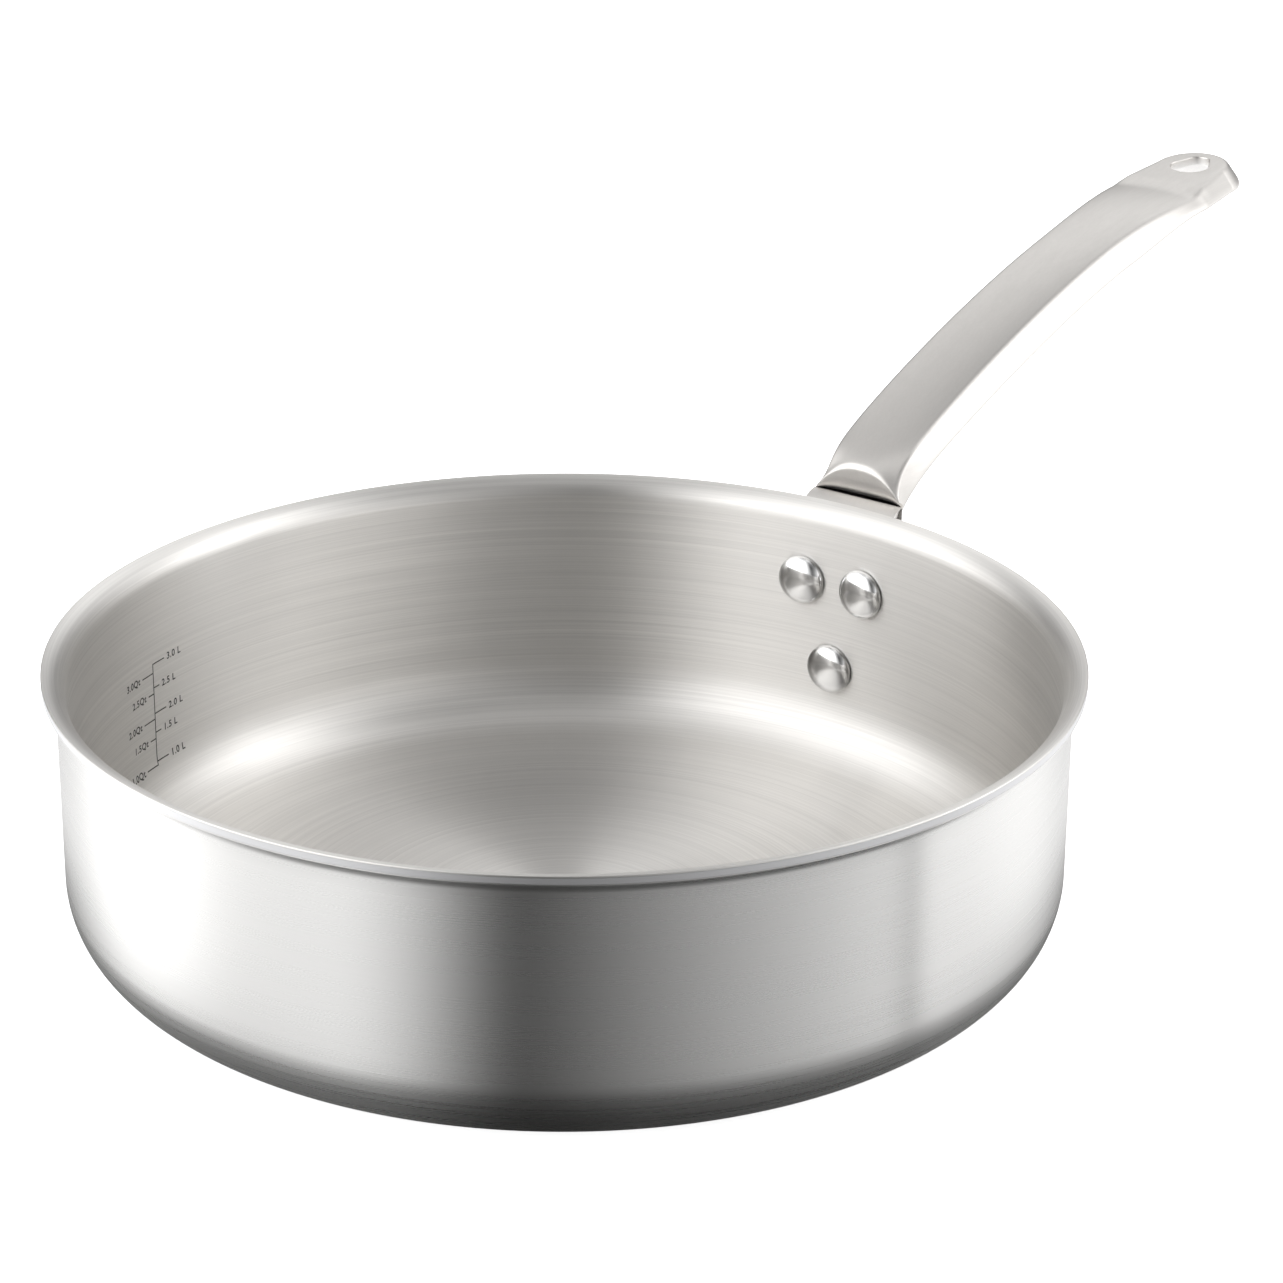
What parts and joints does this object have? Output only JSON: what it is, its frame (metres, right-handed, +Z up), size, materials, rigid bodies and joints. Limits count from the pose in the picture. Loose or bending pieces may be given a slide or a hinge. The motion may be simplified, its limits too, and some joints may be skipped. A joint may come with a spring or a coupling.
{
  "type": "saute pan",
  "caption": "Straight-walled clad saute pan with a rounded base corner, a flared pouring rim and a long arched cast handle riveted to the wall.",
  "frame": {"origin": "centre of the flat underside of the base", "axes": "+X from the pan's axis towards the tip of the handle, +Z up along the pan's axis, +Y to the left when looking along the handle"},
  "size_m": [0.533, 0.293, 0.1458],
  "materials": {
    "cooking_steel": "brushed in circles",
    "core_aluminium": "bare, seen only as the cut edge at the rim",
    "outer_steel": "finely brushed, near polished",
    "handle_steel": "satin, cast",
    "rivet_steel": "polished"
  },
  "bodies": {
    "root": {"inner_ply": "cooking_steel", "core": "core_aluminium", "outer_ply": "outer_steel", "handle": "handle_steel", "rivet_upper_right": "rivet_steel", "rivet_upper_left": "rivet_steel", "rivet_lower": "rivet_steel"}
  },
  "joints": []
}
